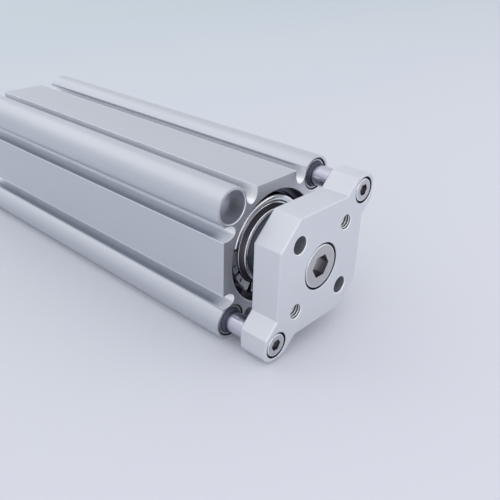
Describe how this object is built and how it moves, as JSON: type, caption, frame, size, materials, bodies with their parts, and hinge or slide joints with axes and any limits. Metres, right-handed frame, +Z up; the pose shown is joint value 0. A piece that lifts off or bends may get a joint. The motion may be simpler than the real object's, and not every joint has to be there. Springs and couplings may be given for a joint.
{
  "type": "guided pneumatic cylinder",
  "caption": "Compact square double-acting pneumatic cylinder with guide rods through two lobes and an eared front plate on the rod.",
  "frame": {"origin": "centre of the tube's front end face, which is also the centre of its two counterbored mounting holes", "axes": "+X along the cylinder axis, the way the rod extends; +Z up when it lies on its two lower lobes"},
  "size_m": [0.1455, 0.045, 0.045],
  "materials": {
    "tube_aluminium": "satin clear anodised extrusion",
    "plate_aluminium": "fine blasted, clear anodised",
    "collar_metal": "polished turned",
    "piston_aluminium": "turned",
    "rod_steel": "ground and hard chromed",
    "screw_steel": "turned stainless",
    "nut_steel": "zinc plated",
    "ring_steel": "spring steel, phosphated",
    "guide_bushing_metal": "steel backed plain bearing",
    "bushing_bronze": "plain bearing bronze",
    "seal_rubber": "matt black",
    "bumper_urethane": "matt",
    "wear_plastic": "filled bearing strip",
    "magnet": "bonded magnet"
  },
  "bodies": {
    "barrel": {"cylinder_tube": "tube_aluminium", "collar": "collar_metal", "rear_cover": "collar_metal", "front_snap_ring": "ring_steel", "rear_snap_ring": "ring_steel", "collar_gasket": "seal_rubber", "rear_cover_gasket": "seal_rubber", "rod_seal": "seal_rubber", "rod_bushing": "bushing_bronze", "front_bumper": "bumper_urethane", "rear_bumper": "bumper_urethane", "guide_bushing_upper": "guide_bushing_metal", "guide_bushing_lower": "guide_bushing_metal", "inner_bushing_upper": "guide_bushing_metal", "inner_bushing_lower": "guide_bushing_metal", "guide_seal_upper": "seal_rubber", "guide_seal_lower": "seal_rubber"},
    "rod_carriage": {"front_plate": "plate_aluminium", "piston_rod": "rod_steel", "piston": "piston_aluminium", "piston_seal": "seal_rubber", "wear_ring": "wear_plastic", "magnet_ring": "magnet", "piston_gasket": "seal_rubber", "piston_nut": "nut_steel", "plate_bolt": "screw_steel", "guide_rod_upper": "rod_steel", "guide_rod_lower": "rod_steel", "guide_screw_upper": "screw_steel", "guide_screw_lower": "screw_steel"}
  },
  "joints": [
    {"name": "rod_slide", "type": "slide", "parent": "barrel", "child": "rod_carriage", "axis": [1, 0, 0], "range_m": [0, 0.085]}
  ]
}
